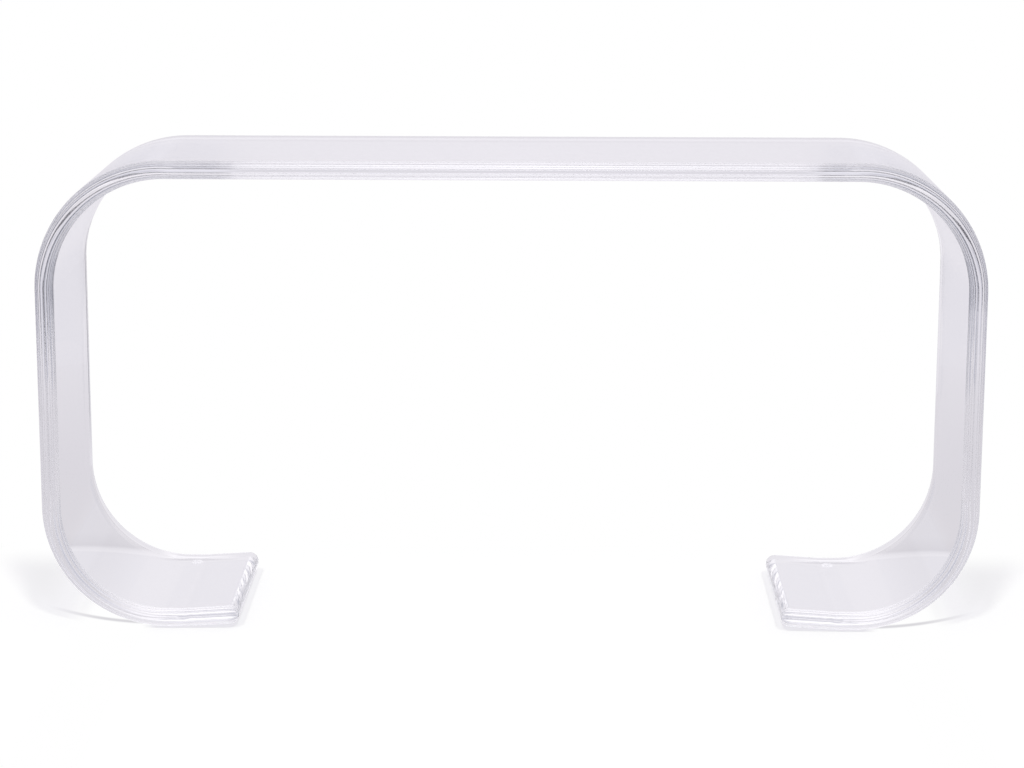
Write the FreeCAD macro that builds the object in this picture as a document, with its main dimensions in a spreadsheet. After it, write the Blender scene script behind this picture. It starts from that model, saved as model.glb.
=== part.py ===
import FreeCAD, Part
import math
import os

import Sketcher

# Clear acrylic console table: one thick sheet, heat-bent into a C that stands on its two
# inward feet, with clear bumper pads stuck under the heels.
# Frame: millimetres, +X to the right along the top, +Y to the back, +Z up.
# Origin: on the floor, under the middle of the top.

doc = FreeCAD.newDocument("console_table")

DIMENSIONS = {
    # Bent sheet
    "overall_width": 1506,
    "overall_height": 762,
    "sheet_depth": 346,
    "sheet_thickness": 30,
    "top_bend_radius": 208,
    "bottom_bend_radius": 197,
    "heel_flat_length": 24,
    "toe_rise_radius": 150,
    "toe_rise_angle": 3.7,
    "toe_length": 84,
    "toe_corner_radius": 18,
    "edge_radius": 14,
    # Bumper pads under the heels, and the film that sticks each one on
    "pad_diameter": 19,
    "pad_thickness": 2,
    "pad_rim_radius": 0.8,
    "pad_side_inset": 30,
    "film_thickness": 0.2,
    "film_border": 0.5,
}

sizes = doc.addObject("Spreadsheet::Sheet", "sizes")
for row, (alias, value) in enumerate(DIMENSIONS.items(), start=1):
    sizes.set(f"A{row}", alias)
    sizes.set(f"B{row}", str(value))
    sizes.setAlias(f"B{row}", alias)
doc.recompute()


def size(alias):
    """Value of one cell of the sheet, in millimetres, or in degrees for an angle."""
    return float(sizes.get(alias))


def new_body(label):
    body = doc.addObject("PartDesign::Body", label)
    body.Label = label
    return body


def new_sketch(body, name, plane_role):
    """Empty sketch on one of the body's own origin planes."""
    plane = next(item for item in body.Origin.OriginFeatures if item.Role == plane_role)
    sketch = body.newObject("Sketcher::SketchObject", name)
    sketch.AttachmentSupport = [(plane, "")]
    sketch.MapMode = "FlatFace"
    return sketch


def dimension(sketch, name, expression, constraint):
    """Add a named dimension to a sketch and bind it to the sheet."""
    index = sketch.addConstraint(constraint)
    sketch.renameConstraint(index, name)
    sketch.setExpression(f"Constraints.{name}", expression)


# A curve's first point, last point and centre in a sketch, and the sketch's origin point.
START, END, CENTRE = 1, 2, 3
ORIGIN = (-1, 1)

half_width = size("overall_width") / 2
foot_lift = size("pad_thickness") + size("film_thickness")
low_centre = FreeCAD.Vector(half_width - size("bottom_bend_radius"),
                            foot_lift + size("bottom_bend_radius"), 0)
high_centre = FreeCAD.Vector(half_width - size("top_bend_radius"),
                             size("overall_height") - size("top_bend_radius"), 0)
rise_angle = math.radians(size("toe_rise_angle"))
rise_centre = FreeCAD.Vector(low_centre.x - size("heel_flat_length"),
                             foot_lift + size("toe_rise_radius"), 0)


def add_line(sketch, x1, y1, x2, y2):
    return sketch.addGeometry(Part.LineSegment(FreeCAD.Vector(x1, y1, 0), FreeCAD.Vector(x2, y2, 0)))


def add_arc(sketch, centre, radius, first, last):
    """Arc, anticlockwise from the first angle to the last."""
    circle = Part.Circle(centre, FreeCAD.Vector(0, 0, 1), radius)
    return sketch.addGeometry(Part.ArcOfCircle(circle, first, last))


def add_quarter(sketch, centre, radius, quarter):
    """Quarter circle, anticlockwise from the right (0), top (1), left (2) or bottom (3)."""
    first = quarter * math.pi / 2
    return add_arc(sketch, centre, radius, first, first + math.pi / 2)


def toe_corner(inset):
    """Where the right toe ends, on the line that lies inset from the sheet's outer face."""
    radius = size("toe_rise_radius") - inset
    along, up = math.cos(rise_angle), math.sin(rise_angle)
    return (rise_centre.x - radius * up - size("toe_length") * along,
            rise_centre.y - radius * along + size("toe_length") * up)


def add_c_run(sketch, inset):
    """One line of the C from left toe to right toe, inset from the sheet's outer face.

    Heels and top are level, legs are upright, and the toes rise a little from the heels. All
    bends are tangent arcs.
    """
    left_low_centre = FreeCAD.Vector(-low_centre.x, low_centre.y, 0)
    left_high_centre = FreeCAD.Vector(-high_centre.x, high_centre.y, 0)
    left_rise_centre = FreeCAD.Vector(-rise_centre.x, rise_centre.y, 0)
    rise_radius = size("toe_rise_radius") - inset
    rise_x = rise_centre.x - rise_radius * math.sin(rise_angle)
    rise_z = rise_centre.y - rise_radius * math.cos(rise_angle)
    toe_x, toe_z = toe_corner(inset)
    down = 1.5 * math.pi
    leg_x = half_width - inset
    foot_z = foot_lift + inset
    top_z = size("overall_height") - inset
    top_radius = size("top_bend_radius") - inset
    low_radius = size("bottom_bend_radius") - inset
    run = {
        "left_toe": add_line(sketch, -toe_x, toe_z, -rise_x, rise_z),
        "left_rise": add_arc(sketch, left_rise_centre, rise_radius, down, down + rise_angle),
        "left_heel": add_line(sketch, -rise_centre.x, foot_z, -low_centre.x, foot_z),
        "left_low": add_quarter(sketch, left_low_centre, low_radius, 2),
        "left_leg": add_line(sketch, -leg_x, low_centre.y, -leg_x, high_centre.y),
        "left_high": add_quarter(sketch, left_high_centre, top_radius, 1),
        "top": add_line(sketch, -high_centre.x, top_z, high_centre.x, top_z),
        "right_high": add_quarter(sketch, high_centre, top_radius, 0),
        "right_leg": add_line(sketch, leg_x, high_centre.y, leg_x, low_centre.y),
        "right_low": add_quarter(sketch, low_centre, low_radius, 3),
        "right_heel": add_line(sketch, low_centre.x, foot_z, rise_centre.x, foot_z),
        "right_rise": add_arc(sketch, rise_centre, rise_radius, down - rise_angle, down),
        "right_toe": add_line(sketch, rise_x, rise_z, toe_x, toe_z),
    }
    # The arcs run anticlockwise, so each one is met at its end first.
    names = list(run)
    for line_name, bend_name, next_line in zip(names[0::2], names[1::2], names[2::2]):
        sketch.addConstraint(Sketcher.Constraint("Tangent", run[line_name], END, run[bend_name], END))
        sketch.addConstraint(Sketcher.Constraint("Tangent", run[bend_name], START, run[next_line], START))
    for name in ("left_heel", "top", "right_heel"):
        sketch.addConstraint(Sketcher.Constraint("Horizontal", run[name]))
    for name in ("left_leg", "right_leg"):
        sketch.addConstraint(Sketcher.Constraint("Vertical", run[name]))
    return run


def sharp_edges(shape, least_turn=math.radians(30)):
    """Names of the edges where two faces meet at a corner, and not smoothly."""
    names = []
    for number, edge in enumerate(shape.Edges, start=1):
        middle = edge.valueAt((edge.FirstParameter + edge.LastParameter) / 2)
        faces = shape.ancestorsOfType(edge, Part.Face)
        normals = [face.normalAt(*face.Surface.parameter(middle)) for face in faces]
        if normals[0].getAngle(normals[1]) > least_turn:
            names.append(f"Edge{number}")
    return names


# Bent sheet: the C drawn from the front, padded by the depth of the sheet. Then the corners of
# the toes are rounded in plan, and every long edge is rounded over and polished.
bent_sheet = new_body("bent_sheet")
c_outline = new_sketch(bent_sheet, "c_outline", "XZ_Plane")
outer = add_c_run(c_outline, 0)
inner = add_c_run(c_outline, size("sheet_thickness"))

outer_toe_x, outer_toe_z = toe_corner(0)
inner_toe_x, inner_toe_z = toe_corner(size("sheet_thickness"))
for toe, toe_end, sign in (("left_toe", START, -1), ("right_toe", END, 1)):
    cut = add_line(c_outline, sign * outer_toe_x, outer_toe_z, sign * inner_toe_x, inner_toe_z)
    c_outline.addConstraint(Sketcher.Constraint("Coincident", cut, START, outer[toe], toe_end))
    c_outline.addConstraint(Sketcher.Constraint("Coincident", cut, END, inner[toe], toe_end))
    c_outline.addConstraint(Sketcher.Constraint("Perpendicular", cut, outer[toe]))
    c_outline.addConstraint(Sketcher.Constraint("Parallel", inner[toe], outer[toe]))

for bend_name in ("left_rise", "left_low", "left_high", "right_high", "right_low", "right_rise"):
    c_outline.addConstraint(Sketcher.Constraint(
        "Coincident", outer[bend_name], CENTRE, inner[bend_name], CENTRE))
for name in ("high", "low", "heel", "rise", "toe"):
    c_outline.addConstraint(Sketcher.Constraint("Equal", outer[f"left_{name}"], outer[f"right_{name}"]))

foot_lift_formula = "sizes.pad_thickness + sizes.film_thickness"
dimension(c_outline, "left_side", "sizes.overall_width / 2",
          Sketcher.Constraint("DistanceX", outer["left_leg"], START, *ORIGIN, half_width))
dimension(c_outline, "right_side", "sizes.overall_width / 2",
          Sketcher.Constraint("DistanceX", *ORIGIN, outer["right_leg"], START, half_width))
dimension(c_outline, "top_height", "sizes.overall_height",
          Sketcher.Constraint("DistanceY", *ORIGIN, outer["top"], START, size("overall_height")))
dimension(c_outline, "left_lift", foot_lift_formula,
          Sketcher.Constraint("DistanceY", *ORIGIN, outer["left_heel"], START, foot_lift))
dimension(c_outline, "right_lift", foot_lift_formula,
          Sketcher.Constraint("DistanceY", *ORIGIN, outer["right_heel"], END, foot_lift))
dimension(c_outline, "top_bend", "sizes.top_bend_radius",
          Sketcher.Constraint("Radius", outer["left_high"], size("top_bend_radius")))
dimension(c_outline, "bottom_bend", "sizes.bottom_bend_radius",
          Sketcher.Constraint("Radius", outer["left_low"], size("bottom_bend_radius")))
dimension(c_outline, "thickness", "sizes.sheet_thickness",
          Sketcher.Constraint("DistanceY", inner["top"], START, outer["top"], START,
                              size("sheet_thickness")))
dimension(c_outline, "heel_flat", "sizes.heel_flat_length",
          Sketcher.Constraint("DistanceX", outer["left_heel"], END, outer["left_heel"], START,
                              size("heel_flat_length")))
dimension(c_outline, "toe_rise", "sizes.toe_rise_radius",
          Sketcher.Constraint("Radius", outer["left_rise"], size("toe_rise_radius")))
dimension(c_outline, "toe_straight", "sizes.toe_length",
          Sketcher.Constraint("Distance", outer["left_toe"], size("toe_length")))
dimension(c_outline, "left_slope", "(sizes.toe_rise_angle - 180) * 1 deg",
          Sketcher.Constraint("Angle", outer["left_toe"], rise_angle - math.pi))
dimension(c_outline, "right_slope", "(180 - sizes.toe_rise_angle) * 1 deg",
          Sketcher.Constraint("Angle", outer["right_toe"], math.pi - rise_angle))

sheet_pad = bent_sheet.newObject("PartDesign::Pad", "sheet_pad")
sheet_pad.Profile = c_outline
sheet_pad.SideType = "Symmetric"
sheet_pad.setExpression("Length", "sizes.sheet_depth")
doc.recompute()

toe_corners = []
for number, edge in enumerate(sheet_pad.Shape.Edges, start=1):
    upright = edge.BoundBox.ZLength > 0.9 * edge.Length
    if upright and abs(edge.Length - size("sheet_thickness")) < 0.001:
        toe_corners.append(f"Edge{number}")
toe_rounding = bent_sheet.newObject("PartDesign::Fillet", "toe_rounding")
toe_rounding.Base = (sheet_pad, toe_corners)
toe_rounding.setExpression("Radius", "sizes.toe_corner_radius")
doc.recompute()

# A round can take up no more than half of the sheet's thickness, or the whole toe corner.
edge_rounding = bent_sheet.newObject("PartDesign::Fillet", "edge_rounding")
edge_rounding.Base = (toe_rounding, sharp_edges(toe_rounding.Shape))
edge_rounding.setExpression(
    "Radius", "min(sizes.edge_radius; 0.48 * sizes.sheet_thickness; 0.9 * sizes.toe_corner_radius)")
doc.recompute()

# Bumper pads: low discs of clear polyurethane with a rounded lower rim, two under each heel,
# where the sheet lies level above the floor. A clear film sticks each one to the sheet.
HEEL_X = "(sizes.overall_width / 2 - sizes.bottom_bend_radius - sizes.heel_flat_length / 2)"
SIDE_Y = "(sizes.sheet_depth / 2 - sizes.pad_side_inset)"


def add_floor_pad(label):
    """Pad turned from its half section, standing on the floor at its own origin."""
    body = new_body(label)
    section = new_sketch(body, f"{label}_section", "XZ_Plane")
    radius = size("pad_diameter") / 2
    height = size("pad_thickness")
    rim = size("pad_rim_radius")
    axis = add_line(section, 0, height, 0, 0)
    base = add_line(section, 0, 0, radius - rim, 0)
    round_rim = add_quarter(section, FreeCAD.Vector(radius - rim, rim, 0), rim, 3)
    wall = add_line(section, radius, rim, radius, height)
    top = add_line(section, radius, height, 0, height)
    for constraint in (
            Sketcher.Constraint("Coincident", axis, END, base, START),
            Sketcher.Constraint("Tangent", base, END, round_rim, START),
            Sketcher.Constraint("Tangent", round_rim, END, wall, START),
            Sketcher.Constraint("Coincident", wall, END, top, START),
            Sketcher.Constraint("Coincident", top, END, axis, START),
            Sketcher.Constraint("Coincident", axis, END, *ORIGIN),
            Sketcher.Constraint("Vertical", axis),
            Sketcher.Constraint("Horizontal", base),
            Sketcher.Constraint("Vertical", wall),
            Sketcher.Constraint("Horizontal", top)):
        section.addConstraint(constraint)
    dimension(section, "pad_radius", "sizes.pad_diameter / 2",
              Sketcher.Constraint("DistanceX", *ORIGIN, wall, END, radius))
    dimension(section, "pad_height", "sizes.pad_thickness",
              Sketcher.Constraint("DistanceY", *ORIGIN, wall, END, height))
    dimension(section, "rim_round", "sizes.pad_rim_radius",
              Sketcher.Constraint("Radius", round_rim, rim))
    turned = body.newObject("PartDesign::Revolution", f"{label}_turned")
    turned.Profile = section
    turned.ReferenceAxis = (section, ["V_Axis"])
    turned.Angle = 360
    return body


def add_adhesive_film(label):
    """Thin clear disc between a pad and the sheet, a little smaller than the pad."""
    film = doc.addObject("Part::Cylinder", label)
    film.Label = label
    film.setExpression("Radius", "sizes.pad_diameter / 2 - sizes.film_border")
    film.setExpression("Height", "sizes.film_thickness")
    film.setExpression("Placement.Base.z", "sizes.pad_thickness")
    return film


sub_parts = [bent_sheet]
for side, x_sign in (("left", -1), ("right", 1)):
    for row_name, y_sign in (("front", -1), ("back", 1)):
        place = f"{side}_{row_name}"
        pad = add_floor_pad(f"floor_pad_{place}")
        film = add_adhesive_film(f"adhesive_film_{place}")
        for piece in (pad, film):
            piece.setExpression("Placement.Base.x", f"{x_sign} * {HEEL_X}")
            piece.setExpression("Placement.Base.y", f"{y_sign} * {SIDE_Y}")
            sub_parts.append(piece)
doc.recompute()

# Nothing is written unless every object is sound.
for item in doc.Objects:
    if "Invalid" in item.State or "Error" in item.State:
        raise RuntimeError(f"{item.Label} failed: {item.State}")
for piece in sub_parts:
    if piece.Shape.isNull() or not piece.Shape.isValid():
        raise RuntimeError(f"{piece.Label} has no valid shape")

os.makedirs("parts", exist_ok=True)
for piece in sub_parts:
    piece.Shape.exportStep(f"parts/{piece.Label}.step")
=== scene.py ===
import math

import bmesh
import bpy
from mathutils import Matrix, Vector


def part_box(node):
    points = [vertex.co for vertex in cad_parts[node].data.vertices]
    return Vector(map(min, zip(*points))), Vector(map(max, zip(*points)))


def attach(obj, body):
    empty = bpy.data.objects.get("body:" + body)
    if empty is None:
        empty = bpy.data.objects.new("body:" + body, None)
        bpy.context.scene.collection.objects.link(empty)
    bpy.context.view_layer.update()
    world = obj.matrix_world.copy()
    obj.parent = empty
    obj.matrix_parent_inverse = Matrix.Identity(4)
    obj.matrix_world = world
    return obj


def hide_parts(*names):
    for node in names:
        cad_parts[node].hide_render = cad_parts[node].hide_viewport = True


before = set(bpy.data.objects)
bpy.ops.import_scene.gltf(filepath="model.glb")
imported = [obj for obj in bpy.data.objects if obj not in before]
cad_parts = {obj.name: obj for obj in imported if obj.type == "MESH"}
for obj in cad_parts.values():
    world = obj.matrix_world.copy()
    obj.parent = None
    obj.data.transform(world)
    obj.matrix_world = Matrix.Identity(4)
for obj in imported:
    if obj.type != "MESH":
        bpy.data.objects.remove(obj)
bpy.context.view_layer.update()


# The bent sheet: the whole table is one thick slab of clear cast acrylic, cut to a strip, heated over
# rods and bent into a C, so top, legs and feet run into each other with no seam. Its long edges are
# rounded nearly full and polished. Its heels lie level, and its toes rise a little and have round corners.
sheet_low, sheet_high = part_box("bent_sheet")
table_width = sheet_high[0] - sheet_low[0]
sheet_depth = sheet_high[1] - sheet_low[1]
top_height = sheet_high[2]
underside = sheet_low[2]
sheet_thickness = 0.030
top_bend_radius = 0.208
floor_bend_radius = 0.197
heel_flat = 0.024
toe_rise_radius = 0.150
toe_rise = math.radians(3.7)
toe_length = 0.084
toe_corner_radius = 0.018
polished_edge_radius = 0.014
bend_steps = 64
rise_steps = 4
toe_steps = 16
edge_steps = 14
sharp_angle = math.radians(40)
at_toe_reach = 1e-4
same_place = 1e-6

top_bend_x = table_width / 2 - top_bend_radius
floor_bend_x = table_width / 2 - floor_bend_radius
top_bend_z = top_height - top_bend_radius
floor_bend_z = underside + floor_bend_radius
upright_length = top_bend_z - floor_bend_z
rise_x = floor_bend_x - heel_flat
rise_z = underside + toe_rise_radius
toe_run = toe_length * math.cos(toe_rise)
toe_climb = toe_length * math.sin(toe_rise)
middle_rise_radius = toe_rise_radius - sheet_thickness / 2
toe_x = rise_x - middle_rise_radius * math.sin(toe_rise) - toe_run
toe_z = rise_z - middle_rise_radius * math.cos(toe_rise) + toe_climb


def run_straight(x, z):
    """The cut end of the sheet is drawn out along a straight stretch."""
    bpy.ops.mesh.extrude_region_move(TRANSFORM_OT_translate={"value": (x, 0, z)})


def bend_round(x, z, angle, steps):
    """The cut end of the sheet is bent by an angle round a rod at x, z."""
    bpy.ops.mesh.spin(steps=steps, angle=angle, center=(x, 0, z), axis=(0, -1, 0))


bpy.ops.object.select_all(action="DESELECT")
bpy.ops.mesh.primitive_plane_add(size=1, location=(-toe_x, 0, toe_z), rotation=(0, math.pi / 2 - toe_rise, 0))
bent_sheet = bpy.context.object
bent_sheet.name = "acrylic_sheet"
bent_sheet.scale = (sheet_thickness, sheet_depth, 1)
bpy.ops.object.transform_apply(location=True, rotation=True, scale=True)
bpy.ops.object.mode_set(mode="EDIT")
bpy.ops.mesh.select_all(action="SELECT")
run_straight(-toe_run, -toe_climb)
bend_round(-rise_x, rise_z, toe_rise, rise_steps)
run_straight(-heel_flat, 0)
bend_round(-floor_bend_x, floor_bend_z, math.pi / 2, bend_steps)
run_straight(0, upright_length)
bend_round(-top_bend_x, top_bend_z, math.pi / 2, bend_steps)
run_straight(2 * top_bend_x, 0)
bend_round(top_bend_x, top_bend_z, math.pi / 2, bend_steps)
run_straight(0, -upright_length)
bend_round(floor_bend_x, floor_bend_z, math.pi / 2, bend_steps)
run_straight(-heel_flat, 0)
bend_round(rise_x, rise_z, toe_rise, rise_steps)
run_straight(-toe_run, toe_climb)
bpy.ops.mesh.select_all(action="SELECT")
bpy.ops.mesh.remove_doubles(threshold=same_place)
bpy.ops.mesh.normals_make_consistent(inside=False)

# The four short edges of the toes are rounded first, then every edge round the sheet is polished round
bpy.ops.mesh.select_mode(type="EDGE")
bpy.ops.mesh.select_all(action="DESELECT")
sheet_mesh = bmesh.from_edit_mesh(bent_sheet.data)
for edge in sheet_mesh.edges:
    across = edge.verts[0].co - edge.verts[1].co
    middle = (edge.verts[0].co + edge.verts[1].co) / 2
    at_toe = (Vector((abs(middle.x), middle.z)) - Vector((toe_x, toe_z))).length < at_toe_reach
    edge.select = at_toe and abs(across.y) < same_place
bmesh.update_edit_mesh(bent_sheet.data)
bpy.ops.mesh.bevel(offset=toe_corner_radius, segments=toe_steps, affect="EDGES", clamp_overlap=False)
bpy.ops.mesh.select_all(action="DESELECT")
bpy.ops.mesh.edges_select_sharp(sharpness=sharp_angle)
bpy.ops.mesh.bevel(offset=polished_edge_radius, segments=edge_steps, affect="EDGES", clamp_overlap=False)
bpy.ops.mesh.select_all(action="SELECT")
bpy.ops.mesh.normals_make_consistent(inside=False)
bpy.ops.object.mode_set(mode="OBJECT")
bpy.ops.object.shade_smooth()
smooth_flats = bent_sheet.modifiers.new("smooth_flats", "WEIGHTED_NORMAL")
smooth_flats.weight = 100
smooth_flats.keep_sharp = False
bpy.ops.object.modifier_apply(modifier=smooth_flats.name)

# Handling leaves a faint uneven haze on every clear piece: where it lies, the polish is a little duller
handling_haze = bpy.data.node_groups.new("handling_haze", "ShaderNodeTree")
handling_haze.interface.new_socket("Place", in_out="INPUT", socket_type="NodeSocketVector")
handling_haze.interface.new_socket("Patches per metre", in_out="INPUT", socket_type="NodeSocketFloat")
handling_haze.interface.new_socket("Clean", in_out="INPUT", socket_type="NodeSocketFloat")
handling_haze.interface.new_socket("Dull", in_out="INPUT", socket_type="NodeSocketFloat")
handling_haze.interface.new_socket("Roughness", in_out="OUTPUT", socket_type="NodeSocketFloat")
haze_in = handling_haze.nodes.new("NodeGroupInput")
haze_out = handling_haze.nodes.new("NodeGroupOutput")
haze_patches = handling_haze.nodes.new("ShaderNodeTexNoise")
haze_patches.inputs["Detail"].default_value = 6
haze_patches.inputs["Roughness"].default_value = 0.6
haze_range = handling_haze.nodes.new("ShaderNodeMapRange")
haze_range.interpolation_type = "SMOOTHSTEP"
haze_range.inputs["From Min"].default_value = 0.45
haze_range.inputs["From Max"].default_value = 0.75
handling_haze.links.new(haze_in.outputs["Place"], haze_patches.inputs["Vector"])
handling_haze.links.new(haze_in.outputs["Patches per metre"], haze_patches.inputs["Scale"])
handling_haze.links.new(haze_patches.outputs["Fac"], haze_range.inputs["Value"])
handling_haze.links.new(haze_in.outputs["Clean"], haze_range.inputs["To Min"])
handling_haze.links.new(haze_in.outputs["Dull"], haze_range.inputs["To Max"])
handling_haze.links.new(haze_range.outputs["Result"], haze_out.inputs["Roughness"])

# The more slanted a clear face is, the less light passes it on the way to the floor, down to a dark rim
shares_by_slant = ((0.55, 1.0), (0.82, 0.79), (0.92, 0.58))
passed_at_rim = (0.10, 0.10, 0.12, 1)


def clear_material(name, ior, tint, passed):
    """Clear plastic: bends what is seen through it, and lets lamp light and the floor's light pass."""
    material = bpy.data.materials.new(name)
    material.use_nodes = True
    nodes, links = material.node_tree.nodes, material.node_tree.links
    plastic = nodes["Principled BSDF"]
    plastic.inputs["Base Color"].default_value = tint
    plastic.inputs["Metallic"].default_value = 0.0
    plastic.inputs["Transmission Weight"].default_value = 1.0
    plastic.inputs["IOR"].default_value = ior
    slant = nodes.new("ShaderNodeLayerWeight")
    slant.inputs["Blend"].default_value = 0.5
    passed_by_slant = nodes.new("ShaderNodeValToRGB")
    shades = passed_by_slant.color_ramp.elements
    shades[0].color = passed
    shades[1].color = passed_at_rim
    for slanted, share in shares_by_slant:
        shades.new(slanted).color = (share * passed[0], share * passed[1], share * passed[2], 1)
    links.new(slant.outputs["Facing"], passed_by_slant.inputs["Fac"])
    light_passes = nodes.new("ShaderNodeBsdfTransparent")
    links.new(passed_by_slant.outputs["Color"], light_passes.inputs["Color"])
    light_path = nodes.new("ShaderNodeLightPath")
    for_floor = nodes.new("ShaderNodeMixShader")
    for_lamps = nodes.new("ShaderNodeMixShader")
    links.new(light_path.outputs["Is Diffuse Ray"], for_floor.inputs["Fac"])
    links.new(plastic.outputs["BSDF"], for_floor.inputs[1])
    links.new(light_passes.outputs["BSDF"], for_floor.inputs[2])
    links.new(light_path.outputs["Is Shadow Ray"], for_lamps.inputs["Fac"])
    links.new(for_floor.outputs["Shader"], for_lamps.inputs[1])
    links.new(light_passes.outputs["BSDF"], for_lamps.inputs[2])
    links.new(for_lamps.outputs["Shader"], nodes["Material Output"].inputs["Surface"])
    return material


def lay_haze(material, patches, clean, dull):
    """Lays the handling haze on a clear material. Gives the place on the piece, for patterns to follow."""
    nodes, links = material.node_tree.nodes, material.node_tree.links
    place = nodes.new("ShaderNodeTexCoord")
    haze = nodes.new("ShaderNodeGroup")
    haze.node_tree = handling_haze
    haze.inputs["Patches per metre"].default_value = patches
    haze.inputs["Clean"].default_value = clean
    haze.inputs["Dull"].default_value = dull
    links.new(place.outputs["Object"], haze.inputs["Place"])
    links.new(haze.outputs["Roughness"], nodes["Principled BSDF"].inputs["Roughness"])
    return place.outputs["Object"]


acrylic = clear_material("clear_acrylic", ior=1.49, tint=(1.0, 1.0, 1.0, 1), passed=(0.82, 0.81, 0.85, 1))
sheet_place = lay_haze(acrylic, patches=9.0, clean=0.0, dull=0.012)
nodes, links = acrylic.node_tree.nodes, acrylic.node_tree.links
body_tint = nodes.new("ShaderNodeVolumeAbsorption")
body_tint.inputs["Color"].default_value = (0.60, 0.60, 0.65, 1)
body_tint.inputs["Density"].default_value = 0.4
links.new(body_tint.outputs["Volume"], nodes["Material Output"].inputs["Volume"])
# Bending leaves slow, shallow waves that lie across the strip
wave_stretch = nodes.new("ShaderNodeMapping")
wave_stretch.inputs["Scale"].default_value = (1.0, 0.12, 1.0)
bend_waves = nodes.new("ShaderNodeTexNoise")
bend_waves.inputs["Scale"].default_value = 11.0
bend_waves.inputs["Detail"].default_value = 1.5
wave_bump = nodes.new("ShaderNodeBump")
wave_bump.inputs["Strength"].default_value = 1.0
wave_bump.inputs["Distance"].default_value = 0.0001
links.new(sheet_place, wave_stretch.inputs["Vector"])
links.new(wave_stretch.outputs["Vector"], bend_waves.inputs["Vector"])
links.new(bend_waves.outputs["Fac"], wave_bump.inputs["Height"])
links.new(wave_bump.outputs["Normal"], nodes["Principled BSDF"].inputs["Normal"])
bent_sheet.data.materials.append(acrylic)

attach(bent_sheet, "root")
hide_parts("bent_sheet")


# The floor pads: four clear polyurethane bumpers under the heels, moulded as flat discs with a rounded
# lower rim and a shallow dish, so that the acrylic neither slides on the floor nor scratches it.
pad_names = [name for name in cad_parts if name.startswith("floor_pad_")]
pad_low, pad_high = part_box(pad_names[0])
pad_radius = (pad_high[0] - pad_low[0]) / 2
pad_thickness = pad_high[2] - pad_low[2]
pad_rim_radius = 0.0008
pad_top_rim_radius = 0.00015
pad_dish_border = 0.0025
pad_dish_depth = 0.0002
pad_dish_run = pad_dish_depth * 3
pad_rim_steps = 6
pad_top_rim_steps = 2
disc_sides = 64
disc_smooth_angle = math.radians(35)


def start_disc(radius, thickness):
    """A plain disc that stands on the origin, left in edit mode."""
    bpy.ops.object.select_all(action="DESELECT")
    bpy.ops.mesh.primitive_circle_add(
        vertices=disc_sides, radius=radius, fill_type="NGON", location=(0, 0, 0))
    disc = bpy.context.object
    bpy.ops.object.mode_set(mode="EDIT")
    bpy.ops.mesh.select_all(action="SELECT")
    bpy.ops.mesh.extrude_region_move(TRANSFORM_OT_translate={"value": (0, 0, thickness)})
    bpy.ops.mesh.select_all(action="SELECT")
    bpy.ops.mesh.normals_make_consistent(inside=False)
    return disc


def select_flat(piece, z, edges):
    """In edit mode, selects the flat face at height z, or the edges round it."""
    bpy.ops.mesh.select_mode(type="EDGE" if edges else "FACE")
    bpy.ops.mesh.select_all(action="DESELECT")
    mesh = bmesh.from_edit_mesh(piece.data)
    for part in mesh.edges if edges else mesh.faces:
        part.select = all(abs(vertex.co.z - z) < same_place for vertex in part.verts)
    bmesh.update_edit_mesh(piece.data)


pad_model = start_disc(pad_radius, pad_thickness)
select_flat(pad_model, 0, edges=True)
bpy.ops.mesh.bevel(offset=pad_rim_radius, segments=pad_rim_steps, affect="EDGES")
select_flat(pad_model, pad_thickness, edges=True)
bpy.ops.mesh.bevel(offset=pad_top_rim_radius, segments=pad_top_rim_steps, affect="EDGES")
select_flat(pad_model, 0, edges=False)
bpy.ops.mesh.inset(thickness=pad_dish_border)
bpy.ops.mesh.inset(thickness=pad_dish_run)
bpy.ops.transform.translate(value=(0, 0, pad_dish_depth))
bpy.ops.mesh.select_all(action="SELECT")
bpy.ops.mesh.normals_make_consistent(inside=False)
bpy.ops.object.mode_set(mode="OBJECT")
bpy.ops.object.shade_smooth_by_angle(angle=disc_smooth_angle)

polyurethane = clear_material(
    "clear_polyurethane", ior=1.48, tint=(0.96, 0.965, 0.98, 1), passed=(0.92, 0.92, 0.93, 1))
pad_place = lay_haze(polyurethane, patches=260.0, clean=0.06, dull=0.20)
nodes, links = polyurethane.node_tree.nodes, polyurethane.node_tree.links
mould_grain = nodes.new("ShaderNodeTexNoise")
mould_grain.inputs["Scale"].default_value = 1800.0
mould_grain.inputs["Detail"].default_value = 3.0
grain_bump = nodes.new("ShaderNodeBump")
grain_bump.inputs["Strength"].default_value = 0.4
grain_bump.inputs["Distance"].default_value = 0.00003
links.new(pad_place, mould_grain.inputs["Vector"])
links.new(mould_grain.outputs["Fac"], grain_bump.inputs["Height"])
links.new(grain_bump.outputs["Normal"], nodes["Principled BSDF"].inputs["Normal"])
pad_model.data.materials.append(polyurethane)


def copy_to_node(model, node, name, lift):
    """A copy of the model with its own mesh, set where the CAD node is and lifted a little."""
    low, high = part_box(node)
    copy = bpy.data.objects.new(name, model.data.copy())
    bpy.context.scene.collection.objects.link(copy)
    copy.data.transform(Matrix.Translation(((low[0] + high[0]) / 2, (low[1] + high[1]) / 2, low[2] + lift)))
    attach(copy, "root")
    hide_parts(node)
    return copy


for node in pad_names:
    pad = copy_to_node(pad_model, node, node.replace("floor_pad", "clear_pad"), lift=0.0)
bpy.data.objects.remove(pad_model)


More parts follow.
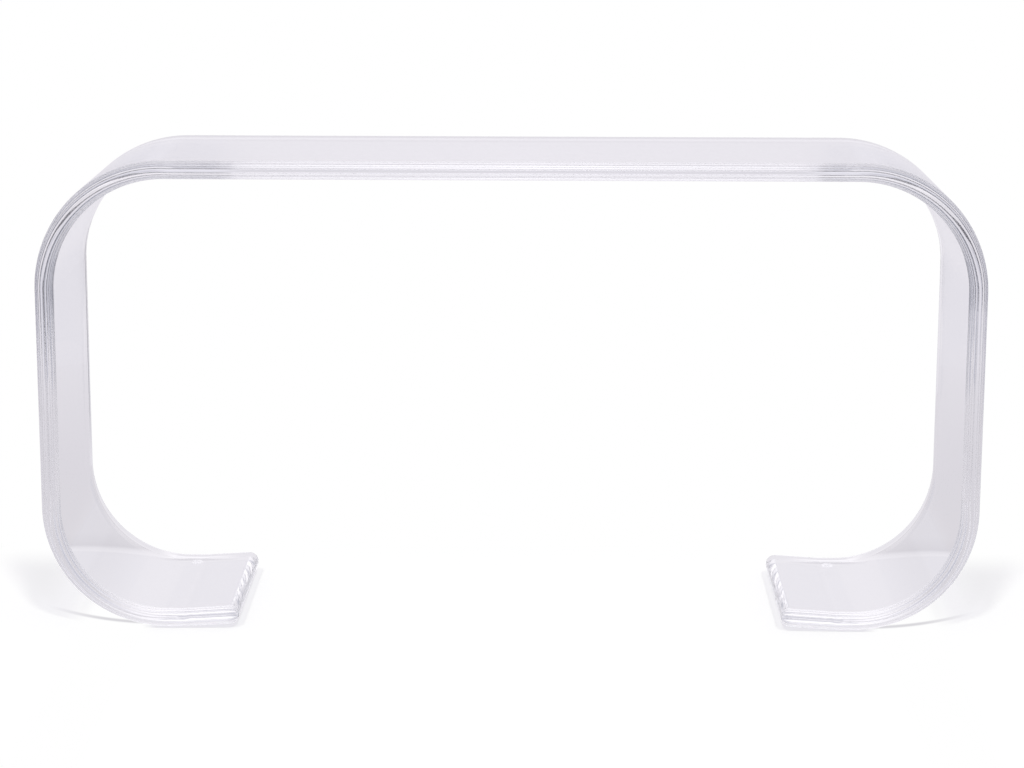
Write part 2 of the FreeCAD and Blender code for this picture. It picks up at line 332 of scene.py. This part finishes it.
# The adhesive films: a thin clear disc of double-sided film sticks each pad to the underside of the
# sheet. It is die-cut a little smaller than the pad, and holds a few tiny trapped bubbles.
film_names = [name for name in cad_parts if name.startswith("adhesive_film_")]
film_low, film_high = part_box(film_names[0])
film_radius = (film_high[0] - film_low[0]) / 2
bond_gap = 0.00002
film_thickness = film_high[2] - film_low[2] - 2 * bond_gap
film_rim_radius = 0.00004
film_rim_border = 0.0004
film_rim_steps = 2

film_model = start_disc(film_radius, film_thickness)
for level in (0, film_thickness):
    select_flat(film_model, level, edges=True)
    bpy.ops.mesh.bevel(offset=film_rim_radius, segments=film_rim_steps, affect="EDGES")
    select_flat(film_model, level, edges=False)
    bpy.ops.mesh.inset(thickness=film_rim_border)
bpy.ops.object.mode_set(mode="OBJECT")
bpy.ops.object.shade_smooth_by_angle(angle=disc_smooth_angle)

adhesive = clear_material(
    "clear_adhesive", ior=1.47, tint=(0.98, 0.98, 0.985, 1), passed=(0.96, 0.96, 0.97, 1))
film_place = lay_haze(adhesive, patches=320.0, clean=0.02, dull=0.10)
nodes, links = adhesive.node_tree.nodes, adhesive.node_tree.links
bubbles = nodes.new("ShaderNodeTexVoronoi")
bubbles.inputs["Scale"].default_value = 420.0
bubble_edge = nodes.new("ShaderNodeMapRange")
bubble_edge.interpolation_type = "SMOOTHSTEP"
bubble_edge.inputs["From Min"].default_value = 0.10
bubble_edge.inputs["From Max"].default_value = 0.20
bubble_edge.inputs["To Min"].default_value = 1.0
bubble_edge.inputs["To Max"].default_value = 0.0
bubble_bump = nodes.new("ShaderNodeBump")
bubble_bump.inputs["Strength"].default_value = 0.5
bubble_bump.inputs["Distance"].default_value = 0.00004
links.new(film_place, bubbles.inputs["Vector"])
links.new(bubbles.outputs["Distance"], bubble_edge.inputs["Value"])
links.new(bubble_edge.outputs["Result"], bubble_bump.inputs["Height"])
links.new(bubble_bump.outputs["Normal"], nodes["Principled BSDF"].inputs["Normal"])
film_model.data.materials.append(adhesive)

for node in film_names:
    film = copy_to_node(film_model, node, node.replace("adhesive_film", "clear_film"), lift=bond_gap)
bpy.data.objects.remove(film_model)


# The studio floor: a white board that the table stands on. The camera sees it as white, with a share of the
# table's faint shadow, a painted dark line by the lower bends and a painted white gap where their shadow is
# hidden. Seen through the acrylic or mirrored in it, the board is painted with light and shade, ends close
# behind the table in a painted shadow line, and a lavender-grey backdrop begins there.
floor_radius = 2.2
floor_sides = 128
white = (1, 1, 1, 1)

bpy.ops.object.select_all(action="DESELECT")
bpy.ops.mesh.primitive_circle_add(
    vertices=floor_sides, radius=floor_radius, fill_type="NGON", location=(0, 0, 0))
floor = bpy.context.object
floor.name = "studio_floor"
board = bpy.data.materials.new("studio_board")
board.use_nodes = True


def add_ramp(tree, value, shades):
    """Colours along a value: each shade is the value where it lies, then its red, green and blue."""
    low, high = shades[0][0], shades[-1][0]
    scaled = tree.nodes.new("ShaderNodeMapRange")
    scaled.inputs["From Min"].default_value = low
    scaled.inputs["From Max"].default_value = high
    tree.links.new(value, scaled.inputs["Value"])
    ramp = tree.nodes.new("ShaderNodeValToRGB")
    tree.links.new(scaled.outputs["Result"], ramp.inputs["Fac"])
    bands = ramp.color_ramp.elements
    bands[0].color = (*shades[0][1], 1)
    bands[-1].color = (*shades[-1][1], 1)
    for place, colour in shades[1:-1]:
        bands.new((place - low) / (high - low)).color = (*colour, 1)
    return ramp.outputs["Color"]


def add_step(tree, value, zone, before, after):
    """A number that goes smoothly from one level to another between a zone's start and its end."""
    step = tree.nodes.new("ShaderNodeMapRange")
    step.interpolation_type = "SMOOTHSTEP"
    step.inputs["From Min"].default_value = zone[0]
    step.inputs["From Max"].default_value = zone[1]
    step.inputs["To Min"].default_value = before
    step.inputs["To Max"].default_value = after
    tree.links.new(value, step.inputs["Value"])
    return step.outputs["Result"]


def add_math(tree, operation, *values):
    """One step of arithmetic on numbers, each of them a socket or a constant."""
    math_node = tree.nodes.new("ShaderNodeMath")
    math_node.operation = operation
    for value, socket in zip(values, math_node.inputs):
        if isinstance(value, float):
            socket.default_value = value
        else:
            tree.links.new(value, socket)
    return math_node.outputs["Value"]


def add_mix(tree, blend, share, below, above):
    """One colour laid over another by a share, each of them a socket or a constant."""
    mix = tree.nodes.new("ShaderNodeMix")
    mix.data_type = "RGBA"
    mix.blend_type = blend
    for value, socket in ((share, mix.inputs[0]), (below, mix.inputs[6]), (above, mix.inputs[7])):
        if isinstance(value, (float, tuple)):
            socket.default_value = value
        else:
            tree.links.new(value, socket)
    return mix.outputs[2]


tree = board.node_tree
paint = tree.nodes["Principled BSDF"]
paint.inputs["Roughness"].default_value = 0.9
paint.inputs["Specular IOR Level"].default_value = 0.0
from_middle = tree.nodes.new("ShaderNodeTexCoord")
board_split = tree.nodes.new("ShaderNodeSeparateXYZ")
tree.links.new(from_middle.outputs["Object"], board_split.inputs["Vector"])
light_path = tree.nodes.new("ShaderNodeLightPath")
from_side = add_math(tree, "ABSOLUTE", board_split.outputs["X"])

# Bands from front to back: darker far in front, pale by the table, then a painted shadow line where the board
# ends, and the lavender-grey backdrop. The board's end slants along the lower bends and lies farther back at
# the feet.
board_end = 0.175
board_end_slant = 0.5
board_past_feet = 0.13
foot_to_bend = (floor_bend_x - 0.01, floor_bend_x + 0.04)
past_heel = add_math(tree, "MAXIMUM", 0.0, add_math(tree, "SUBTRACT", from_side, floor_bend_x))
behind_foot = add_step(tree, from_side, foot_to_bend, board_past_feet, 0.0)
to_back = add_math(tree, "SUBTRACT", board_split.outputs["Y"],
                   add_math(tree, "MULTIPLY_ADD", board_end_slant, past_heel, behind_foot))
bands_to_back = add_ramp(tree, to_back, (
    (-floor_radius, (0.66, 0.64, 0.68)),
    (-0.90, (0.66, 0.64, 0.68)),
    (-0.45, (0.93, 0.91, 0.95)),
    (board_end - 0.030, (0.93, 0.91, 0.95)),
    # A faint painted light line just before the board's end, then a painted shadow line just past it
    (board_end - 0.020, (0.86, 0.84, 0.88)),
    (board_end - 0.008, (0.86, 0.84, 0.88)),
    (board_end + 0.010, (0.63, 0.61, 0.65)),
    (board_end + 0.030, (0.66, 0.64, 0.68)),
    (board_end + 0.100, (0.71, 0.69, 0.73)),
    (0.80, (0.71, 0.69, 0.74)),
    (1.50, (0.75, 0.73, 0.78)),
    (floor_radius, (0.795, 0.775, 0.83)),
))

# The board is a little shaded under the feet, and dimmer far aside
foot_inner_end = (0.40, 0.46)
foot_front = (-sheet_depth / 2 - 0.01, -sheet_depth / 2 + 0.01)
foot_back = (board_end - 0.035, board_end - 0.020)
foot_shade = (0.86, 0.86, 0.87, 1)
aside_start = (0.90, 1.40)
aside_back = (0.05, 0.40)
aside_shade = (0.80, 0.80, 0.80, 1)
along_foot = add_math(tree, "MULTIPLY", add_step(tree, board_split.outputs["Y"], foot_front, 0.0, 1.0),
                      add_step(tree, to_back, foot_back, 1.0, 0.0))
under_feet = add_math(tree, "MULTIPLY", add_step(tree, from_side, foot_inner_end, 0.0, 1.0), along_foot)
far_aside = add_math(tree, "MULTIPLY", add_step(tree, from_side, aside_start, 0.0, 1.0),
                     add_step(tree, board_split.outputs["Y"], aside_back, 1.0, 0.0))
near_board = add_mix(tree, "MULTIPLY", far_aside, bands_to_back, aside_shade)
shaded_board = add_mix(tree, "MULTIPLY", under_feet, near_board, foot_shade)

# Stand-in for light that the feet's round back edges gather: a fine bright line under them, and a dark
# one in front of it. Both drift back where the foot lifts off the floor.
edge_line_drift = 1.15
heel_inner_end = (0.46, 0.54)
heel_outer_end = (0.565, 0.63)
past_toe_rise = add_math(tree, "MAXIMUM", 0.0, add_math(tree, "SUBTRACT", rise_x, from_side))
toe_lift = add_math(tree, "MULTIPLY", math.tan(toe_rise), past_toe_rise)
bend_lift = add_math(tree, "MULTIPLY", 0.5 / floor_bend_radius,
                     add_math(tree, "MULTIPLY", past_heel, past_heel))
foot_lift = add_math(tree, "ADD", toe_lift, bend_lift)
edge_line = add_math(tree, "SUBTRACT", board_split.outputs["Y"],
                     add_math(tree, "MULTIPLY", edge_line_drift, foot_lift))
edge_lines = add_ramp(tree, edge_line, (
    (0.150, (1.00, 1.00, 1.00)),
    (0.157, (0.76, 0.76, 0.77)),
    (0.164, (0.76, 0.76, 0.77)),
    (0.1665, (1.28, 1.28, 1.27)),
    (0.1715, (1.28, 1.28, 1.27)),
    (0.174, (1.00, 1.00, 1.00)),
    (0.180, (1.00, 1.00, 1.00)),
))
at_heels = add_math(tree, "MULTIPLY", add_step(tree, from_side, heel_inner_end, 0.0, 1.0),
                    add_step(tree, from_side, heel_outer_end, 1.0, 0.0))
lined_board = add_mix(tree, "MULTIPLY", at_heels, shaded_board, edge_lines)

# Mirrored light sees a painted pool of light on the board by the table. Other light sees it pale in front of
# the table.
by_table_side = (0.60, 0.70)
by_table_back = (0.35, 0.55)
mirrored_colour = (1.12, 1.10, 1.14, 1)
front_end = (-0.55, -0.25)
front_colour = (0.95, 0.93, 0.97, 1)
mirrored = add_math(tree, "MINIMUM", 1.0, light_path.outputs["Glossy Depth"])
by_table = add_math(tree, "MULTIPLY", add_step(tree, from_side, by_table_side, 1.0, 0.0),
                    add_step(tree, board_split.outputs["Y"], by_table_back, 1.0, 0.0))
lit_near = add_math(tree, "MULTIPLY", mirrored, by_table)
lit_board = add_mix(tree, "MIX", lit_near, lined_board, mirrored_colour)
seen_in_front = add_math(tree, "MULTIPLY", add_math(tree, "SUBTRACT", 1.0, mirrored),
                         add_step(tree, board_split.outputs["Y"], front_end, 1.0, 0.0))
front_board = add_mix(tree, "MIX", seen_in_front, lit_board, front_colour)

# Painted shadow line, a stand-in for light that the lower bends gather: the camera sees a thin painted dark
# line on the floor by them
bend_line_start = 0.612
bend_line_front = -0.1347
bend_line_slope = 0.2
bend_line_curve = 2.2
bend_line_slant = -0.004
bend_line_inner_end = (0.575, 0.605)
bend_line_outer_end = (0.66, 0.78)
bend_line_border = (0.002, 0.012)
bend_line_colour = (0.70, 0.69, 0.72, 1)
from_bend = add_math(tree, "SUBTRACT", from_side, bend_line_start)
bend_line = add_math(tree, "MULTIPLY_ADD", from_bend, add_math(
    tree, "MULTIPLY_ADD", from_bend, bend_line_curve, bend_line_slope), bend_line_front)
line_slant = add_math(tree, "MULTIPLY_ADD", board_split.outputs["X"], bend_line_slant, bend_line)
off_line = add_math(tree, "ABSOLUTE", add_math(tree, "SUBTRACT", board_split.outputs["Y"], line_slant))
by_bends = add_math(tree, "MULTIPLY", add_step(tree, from_side, bend_line_inner_end, 0.0, 1.0),
                    add_step(tree, from_side, bend_line_outer_end, 1.0, 0.0))
on_line = add_math(tree, "MULTIPLY", by_bends, add_step(tree, off_line, bend_line_border, 1.0, 0.0))
camera_board = add_mix(tree, "MIX", on_line, white, bend_line_colour)
shown_colour = add_mix(tree, "MIX", light_path.outputs["Is Camera Ray"], front_board, camera_board)
tree.links.new(shown_colour, paint.inputs["Base Color"])

# The camera sees a share of the table's shadow, but none far back, nor in a white gap by the lower bends,
# where painted light hides their shadow as a stand-in for light they gather
shadow_share = 0.60
shadow_end = (0.15, 0.32)
gap_back = (0.02, 0.12)
gap_inner_end = (0.57, 0.60)
gap_outer_end = (0.685, 0.745)
along_gap = add_math(tree, "MULTIPLY", add_step(tree, from_side, gap_inner_end, 0.0, 1.0),
                     add_step(tree, from_side, gap_outer_end, 1.0, 0.0))
gap_painted_light = add_math(tree, "MULTIPLY", add_step(tree, board_split.outputs["Y"], gap_back, 1.0, 0.0), along_gap)
lit_share = add_math(tree, "MULTIPLY", add_math(tree, "SUBTRACT", 1.0, gap_painted_light),
                     add_step(tree, board_split.outputs["Y"], shadow_end, shadow_share, 0.0))
lit_for_camera = add_math(tree, "MULTIPLY", lit_share, light_path.outputs["Is Camera Ray"])
lit_for_light = add_math(tree, "MAXIMUM", lit_for_camera, light_path.outputs["Is Diffuse Ray"])
glow = tree.nodes.new("ShaderNodeEmission")
tree.links.new(shown_colour, glow.inputs["Color"])
shown = tree.nodes.new("ShaderNodeMixShader")
tree.links.new(lit_for_light, shown.inputs["Fac"])
tree.links.new(glow.outputs["Emission"], shown.inputs[1])
tree.links.new(paint.outputs["BSDF"], shown.inputs[2])
tree.links.new(shown.outputs["Shader"], tree.nodes["Material Output"].inputs["Surface"])
floor.data.materials.append(board)


# The studio reflector: a low white board that stands in front of the table and lights the feet and the lower
# bends. Mirrored in them it shows grey. Only the acrylic sees it, so that it throws no shadow on the floor.
reflector_height = 0.31
reflector_width = 2.6
reflector_y = -0.6
reflector_tilt = math.radians(-4.4)
reflector_direct = (0.95, 0.93, 0.97, 1)
reflector_mirrored = (0.72, 0.70, 0.74, 1)
reflector_place = (0, reflector_y, reflector_height / 2)


def stand_card(name, material_name, place, turn, width, height):
    """A standing card that only the acrylic sees, in its own light. Its colour is still to be linked."""
    bpy.ops.object.select_all(action="DESELECT")
    bpy.ops.mesh.primitive_plane_add(size=1, location=place, rotation=turn)
    card = bpy.context.object
    card.name = name
    card.scale = (width, height, 1)
    bpy.ops.object.transform_apply(location=True, rotation=True, scale=True)
    card.visible_camera = False
    card.visible_diffuse = False
    card.visible_shadow = False
    material = bpy.data.materials.new(material_name)
    material.use_nodes = True
    paint = material.node_tree.nodes["Principled BSDF"]
    paint.inputs["Base Color"].default_value = (0, 0, 0, 1)
    paint.inputs["Specular IOR Level"].default_value = 0.0
    paint.inputs["Emission Strength"].default_value = 1.0
    card.data.materials.append(material)
    return card


reflector = stand_card("studio_reflector", "studio_card", reflector_place,
                       (math.pi / 2, reflector_tilt, 0), reflector_width, reflector_height)
tree = reflector.data.materials[0].node_tree
light_path = tree.nodes.new("ShaderNodeLightPath")
mirrored = add_math(tree, "MINIMUM", 1.0, light_path.outputs["Glossy Depth"])
card_colour = add_mix(tree, "MIX", mirrored, reflector_direct, reflector_mirrored)
tree.links.new(card_colour, tree.nodes["Principled BSDF"].inputs["Emission Color"])


# The studio flag: a narrow dark card that stands behind the left leg, hidden from the camera. It glows dark,
# fading to the walls' lavender-grey towards its borders. Light bent round the leg's back edge comes from
# there and draws the fine dark line down it.
flag_place = (-0.8634, 0.2611, 0.43)
flag_turn = math.radians(54)
flag_width = 0.060
flag_height = 0.56
flag_core = 0.010
flag_core_height = 0.20
flag_dark_glow = (0.20, 0.20, 0.23, 1)
flag_border_glow = (0.81, 0.79, 0.84, 1)

flag = stand_card("studio_flag", "studio_flag_glow", flag_place,
                  (math.pi / 2, 0, flag_turn), flag_width, flag_height)
tree = flag.data.materials[0].node_tree
flag_spot = tree.nodes.new("ShaderNodeTexCoord")
flag_split = tree.nodes.new("ShaderNodeSeparateXYZ")
tree.links.new(flag_spot.outputs["Object"], flag_split.inputs["Vector"])
across_flag = add_math(tree, "ABSOLUTE", add_math(tree, "SUBTRACT", flag_split.outputs["X"], flag_place[0]))
along_flag = add_math(tree, "ABSOLUTE", add_math(tree, "SUBTRACT", flag_split.outputs["Z"], flag_place[2]))
side_border = (flag_core / 2 * math.cos(flag_turn), flag_width / 2 * math.cos(flag_turn))
end_border = (flag_core_height / 2, flag_height / 2)
# Painted fade: the card's glow goes from dark in its core to lavender-grey at its sides and ends
faded_aside = add_step(tree, across_flag, side_border, 0.0, 1.0)
faded_at_ends = add_step(tree, along_flag, end_border, 0.0, 1.0)
faded_border = add_math(tree, "MAXIMUM", faded_aside, faded_at_ends)
flag_glow_colour = add_mix(tree, "MIX", faded_border, flag_dark_glow, flag_border_glow)
tree.links.new(flag_glow_colour, tree.nodes["Principled BSDF"].inputs["Emission Color"])


# The studio light: lavender-grey walls with a bright strip in the middle of the backdrop and a card like it
# behind the camera. The camera sees the walls as white. Beside the card the room is dark: light that the
# acrylic's edges have mirrored back to the front comes from there, which draws the dark lines along them.
strip_middle = -0.0065
strip_edge = 0.106
strip_border = (strip_edge - 0.008, strip_edge + 0.008)
card_foot = -0.19
card_side_border = (strip_edge - 0.003, strip_edge + 0.003)
card_foot_border = (card_foot - 0.01, card_foot + 0.01)
# Borders on the walls lie along the direction's own X, Y or Z, and mirrorings are counts
ceiling_border = (0.30, 0.55)
floor_border = (-0.10, 0.0)
middle_border = (0.0, 0.1)
front_border = (-0.2, 0.2)
second_mirroring = (1.0, 2.0)
third_mirroring = (2.0, 3.0)
many_mirrorings = (5.0, 8.0)
deep_dark_share = 0.5
dark_room = (0.02, 0.02, 0.035, 1)
fill_light = (0.23, 0.23, 0.23, 1)

world = bpy.data.worlds.new("studio")
bpy.context.scene.world = world
world.use_nodes = True
tree = world.node_tree
direction = tree.nodes.new("ShaderNodeTexCoord")
split = tree.nodes.new("ShaderNodeSeparateXYZ")
tree.links.new(direction.outputs["Generated"], split.inputs["Vector"])
light_path = tree.nodes.new("ShaderNodeLightPath")
aside = add_math(tree, "ABSOLUTE", add_math(tree, "SUBTRACT", split.outputs["X"], strip_middle))
mirrored_inside = add_math(tree, "MINIMUM", 1.0, add_math(
    tree, "MULTIPLY", light_path.outputs["Glossy Depth"], light_path.outputs["Transmission Depth"]))

# The walls by height: as the faces mirror them, and as they show through the acrylic
walls_in_faces = add_ramp(tree, split.outputs["Z"], (
    (-1.00, (0.81, 0.79, 0.84)),
    (-0.20, (0.81, 0.79, 0.84)),
    (0.00, (0.82, 0.80, 0.85)),
    (0.135, (0.80, 0.78, 0.83)),
    (0.20, (0.84, 0.82, 0.87)),
    (0.35, (0.90, 0.88, 0.94)),
    (1.00, (1.00, 0.98, 1.03)),
))
walls_through_edges = add_ramp(tree, split.outputs["Z"], (
    (-1.00, (0.81, 0.79, 0.84)),
    (-0.15, (0.81, 0.79, 0.84)),
    (-0.05, (0.97, 0.95, 1.00)),
    (0.10, (0.98, 0.96, 1.01)),
    (0.13, (0.82, 0.80, 0.85)),
    (0.21, (0.84, 0.82, 0.87)),
    (0.30, (0.93, 0.91, 0.96)),
    (1.00, (1.00, 0.98, 1.03)),
))
went_inside = add_math(tree, "MINIMUM", 1.0, light_path.outputs["Transmission Depth"])
walls_by_height = add_mix(tree, "MIX", went_inside, walls_in_faces, walls_through_edges)

# The walls by side: low in the faces they darken far aside, and mirrored inside the acrylic they dim beside
# the strip, which shows a dimmer gap low down to light that was mirrored once
walls_far_aside = add_ramp(tree, aside, (
    (0.00, (1.00, 1.00, 1.00)),
    (0.45, (1.00, 1.00, 1.00)),
    (0.60, (0.80, 0.80, 0.82)),
    (0.72, (0.45, 0.45, 0.48)),
    (0.85, (0.22, 0.22, 0.25)),
    (1.00, (0.15, 0.15, 0.18)),
))
walls_mirrored_once = add_ramp(tree, aside, (
    (0.00, (1.02, 1.02, 1.03)),
    (0.10, (1.00, 1.00, 1.01)),
    (0.112, (0.92, 0.93, 0.96)),
    (0.22, (0.78, 0.79, 0.83)),
    (0.36, (0.68, 0.70, 0.75)),
    (1.00, (0.54, 0.56, 0.61)),
))
walls_mirrored_more = add_ramp(tree, aside, (
    (0.00, (1.28, 1.28, 1.27)),
    (0.10, (1.12, 1.12, 1.12)),
    (0.112, (0.75, 0.76, 0.80)),
    (0.22, (0.70, 0.71, 0.76)),
    (0.36, (0.68, 0.70, 0.75)),
    (1.00, (0.54, 0.56, 0.61)),
))
mirrored_again = add_step(tree, light_path.outputs["Glossy Depth"], second_mirroring, 0.0, 1.0)
walls_by_side = add_mix(tree, "MIX", mirrored_again, walls_mirrored_once, walls_mirrored_more)
walls_low_gap = add_ramp(tree, split.outputs["Z"], (
    (-1.00, (1.00, 1.00, 1.00)),
    (-0.10, (1.00, 1.00, 1.00)),
    (-0.04, (0.72, 0.72, 0.73)),
    (0.08, (0.72, 0.72, 0.73)),
    (0.11, (0.88, 0.88, 0.88)),
    (0.21, (0.88, 0.88, 0.88)),
    (0.25, (1.00, 1.00, 1.00)),
    (1.00, (1.00, 1.00, 1.00)),
))
below_ceiling = add_step(tree, split.outputs["Z"], ceiling_border, 1.0, 0.0)
walls_lit = add_mix(tree, "MIX", below_ceiling, white, walls_by_side)
on_strip = add_step(tree, aside, strip_border, 1.0, 0.0)
in_low_gap = add_math(tree, "MULTIPLY", on_strip, add_math(tree, "SUBTRACT", 1.0, mirrored_again))
walls_inside = add_mix(tree, "MULTIPLY", in_low_gap, walls_lit, walls_low_gap)
low_on_faces = add_math(tree, "MULTIPLY", add_math(tree, "SUBTRACT", 1.0, went_inside),
                        add_step(tree, split.outputs["Z"], floor_border, 1.0, 0.0))
walls_outside = add_mix(tree, "MIX", low_on_faces, white, walls_far_aside)
walls_shading = add_mix(tree, "MIX", mirrored_inside, walls_outside, walls_inside)
walls = add_mix(tree, "MULTIPLY", 1.0, walls_by_height, walls_shading)

# The dark room beside and below the card, for light that the edges have mirrored often
mirrored_often = add_step(tree, light_path.outputs["Glossy Depth"], third_mirroring, 0.0, 1.0)
mirrored_most = add_step(tree, light_path.outputs["Glossy Depth"], many_mirrorings, 0.0, deep_dark_share)
to_the_front = add_step(tree, split.outputs["Y"], front_border, 1.0, 0.0)
beside_card = add_step(tree, aside, card_side_border, 0.0, 1.0)
below_card = add_step(tree, split.outputs["Z"], card_foot_border, 1.0, 0.0)
off_card = add_math(tree, "MAXIMUM", beside_card, below_card)
often_to_front = add_math(tree, "MULTIPLY", mirrored_often, to_the_front)
front_off_card = add_math(tree, "MULTIPLY", off_card, often_to_front)
dark_in_front = add_math(tree, "MULTIPLY", front_off_card, below_ceiling)
below_middle = add_step(tree, split.outputs["Z"], middle_border, 1.0, 0.0)
deep_aside = add_math(tree, "MULTIPLY", beside_card, add_math(tree, "MULTIPLY", mirrored_most, below_middle))
in_the_dark = add_math(tree, "MAXIMUM", dark_in_front, deep_aside)
room = add_mix(tree, "MIX", in_the_dark, walls, dark_room)

# The floor gets only a little light from the walls, and the camera sees them as white
fill = add_mix(tree, "MIX", light_path.outputs["Is Diffuse Ray"], white, fill_light)
lit_room = add_mix(tree, "MULTIPLY", 1.0, room, fill)
seen_room = add_mix(tree, "MIX", light_path.outputs["Is Camera Ray"], lit_room, white)
tree.links.new(seen_room, tree.nodes["Background"].inputs["Color"])

# Two key lights beside the camera: each throws the shadow of the leg that is farther from it outwards
key_aside = 0.25
key_to_back = 0.7
key_height = 3.0
key_energy = 1.58
key_softness = math.radians(5)
for side, toward in (("left", key_aside), ("right", -key_aside)):
    key_light = bpy.data.lights.new("key_light_" + side, "SUN")
    key_light.energy = key_energy
    key_light.angle = key_softness
    key_direction = Vector((toward, key_to_back, -1))
    key_place = bpy.data.objects.new("key_light_" + side, key_light)
    key_place.location = -key_height * key_direction
    key_place.rotation_euler = key_direction.to_track_quat("-Z", "Y").to_euler()
    key_place.visible_glossy = False
    key_place.visible_transmission = False
    bpy.context.scene.collection.objects.link(key_place)


# The camera: a long lens four and a half metres in front of the table, half a metre above its top and
# pointed a little down, with the small turn and tilt that the picture has.
camera_place = (0.04788, -4.42702, 1.32467)
camera_turn = math.radians(0.6068)
camera_down = math.radians(12.1469)
camera_tilt = math.radians(0.152)
camera_lens = 96.4975
camera_sensor = 36.0
light_bounces = 128

camera = bpy.data.objects.new("camera", bpy.data.cameras.new("camera"))
camera.data.lens = camera_lens
camera.data.sensor_width = camera_sensor
camera.matrix_world = (
    Matrix.Translation(camera_place)
    @ Matrix.Rotation(camera_turn, 4, "Z")
    @ Matrix.Rotation(math.pi / 2 - camera_down, 4, "X")
    @ Matrix.Rotation(camera_tilt, 4, "Z")
)
bpy.context.scene.collection.objects.link(camera)
bpy.context.scene.camera = camera
bpy.context.scene.view_settings.view_transform = "Standard"
bpy.context.scene.cycles.max_bounces = light_bounces
bpy.context.scene.cycles.glossy_bounces = light_bounces
bpy.context.scene.cycles.transmission_bounces = light_bounces
